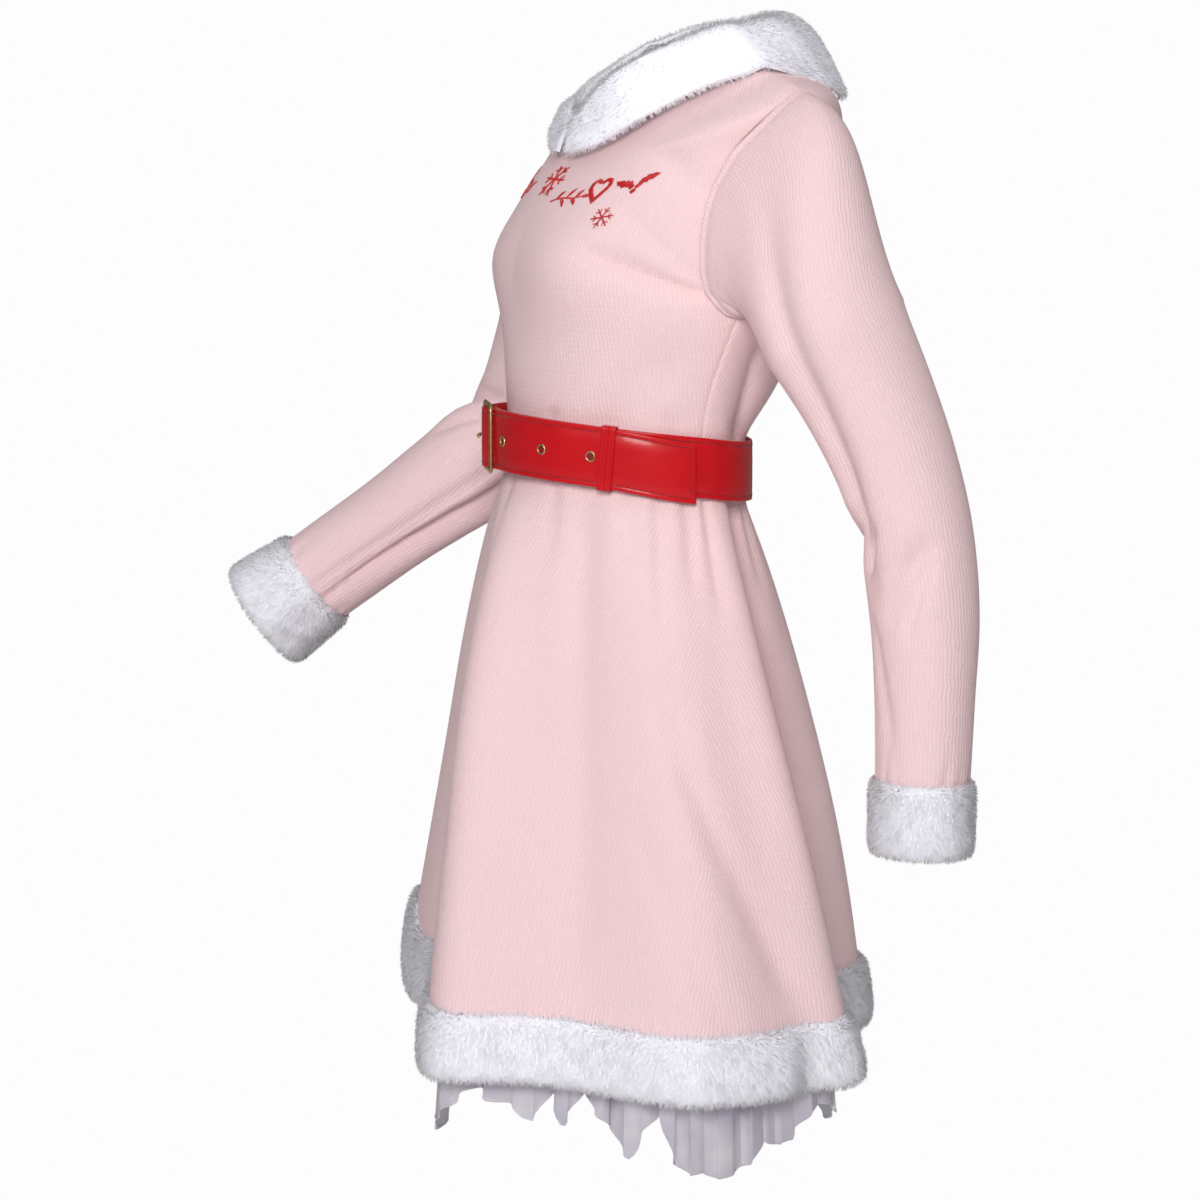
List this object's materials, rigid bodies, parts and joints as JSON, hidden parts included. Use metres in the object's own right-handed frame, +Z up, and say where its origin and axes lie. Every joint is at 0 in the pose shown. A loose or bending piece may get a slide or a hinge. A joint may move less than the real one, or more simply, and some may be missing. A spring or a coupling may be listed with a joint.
{
  "type": "elf costume",
  "caption": "Worn long-sleeved fleece dress with a flared skirt, fur collar, cuffs and hem, a pointed satin petticoat and a glossy buckled belt.",
  "frame": {"origin": "between the shoulders at the height of the neck, where the wearer carries the dress", "axes": "+Z up, -Y towards the front of the dress, +X towards the wearer's left side"},
  "size_m": [0.6832, 0.4563, 0.9224],
  "materials": {
    "fleece": "matte brushed pile, pale pink",
    "fur": "long white pile",
    "satin": "thin white satin with a soft sheen",
    "belt_red": "glossy coated",
    "brass": "antique, satin"
  },
  "bodies": {
    "root": {"bodice_front": "fleece", "bodice_back": "fleece", "skirt_front": "fleece", "skirt_back": "fleece", "fur_hem_front": "fur", "fur_hem_back": "fur", "petticoat_top": "satin", "petticoat_ruffle": "satin", "sleeve_left": "fleece", "sleeve_right": "fleece", "cuff_left": "fur", "cuff_right": "fur", "collar": "fur", "belt_strap": "belt_red", "belt_keeper": "belt_red", "buckle_frame": "brass", "buckle_bar": "brass", "buckle_prong": "brass", "eyelet_1": "brass", "eyelet_2": "brass", "eyelet_3": "brass"}
  },
  "joints": []
}
